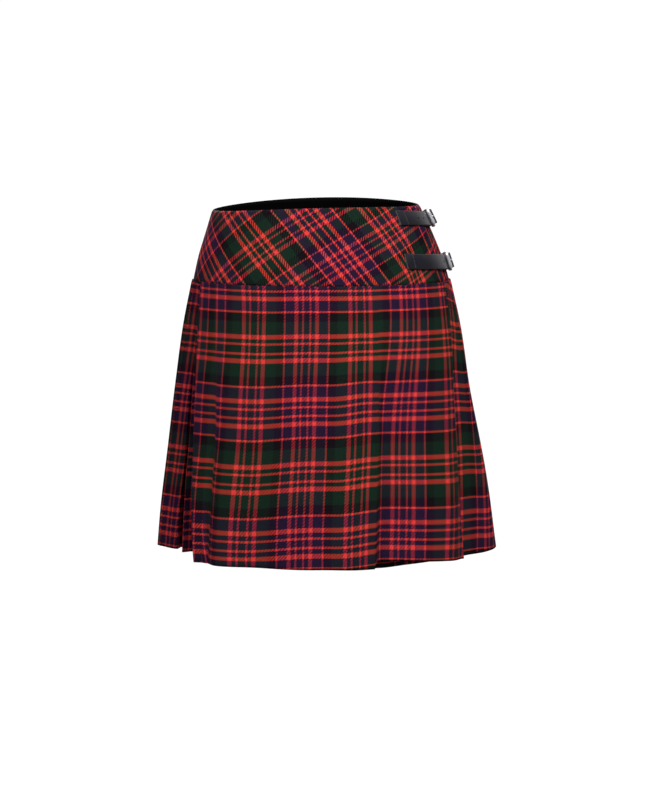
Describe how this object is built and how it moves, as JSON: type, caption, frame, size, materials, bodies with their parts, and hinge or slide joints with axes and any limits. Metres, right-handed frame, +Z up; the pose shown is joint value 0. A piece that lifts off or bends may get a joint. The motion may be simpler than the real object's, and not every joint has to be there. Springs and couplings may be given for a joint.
{
  "type": "tartan mini skirt",
  "caption": "Wrap-over tartan mini skirt in its filled-out worn form: bias-cut hip yoke, flat front apron, knife pleats round the sides and back, leather straps and buckles at the hip.",
  "frame": {"origin": "centre of the waist opening, at the height of the waist edge's front, where the wearer holds the skirt up", "axes": "+Z up out of the waist, front towards -Y, +X towards the wearer's left, where the straps and buckles are"},
  "size_m": [0.3991, 0.3017, 0.4104],
  "materials": {
    "tartan_cloth": "twill wool, red stripes on black, dark green and navy, cut on the bias in the yoke",
    "black_lining": "plain black lining",
    "black_leather": "smooth black leather with a soft sheen",
    "chrome": "polished bright wire"
  },
  "bodies": {
    "root": {"yoke_over": "tartan_cloth", "yoke_under": "tartan_cloth", "yoke_back": "tartan_cloth", "yoke_lining": "black_lining", "apron_over": "tartan_cloth", "pleats": "tartan_cloth", "apron_under": "tartan_cloth", "strap_upper": "black_leather", "strap_lower": "black_leather", "buckle_upper": "chrome", "buckle_lower": "chrome", "prong_upper": "chrome", "prong_lower": "chrome", "chape_upper": "black_leather", "chape_lower": "black_leather", "keeper_upper": "black_leather", "keeper_lower": "black_leather"}
  },
  "joints": []
}
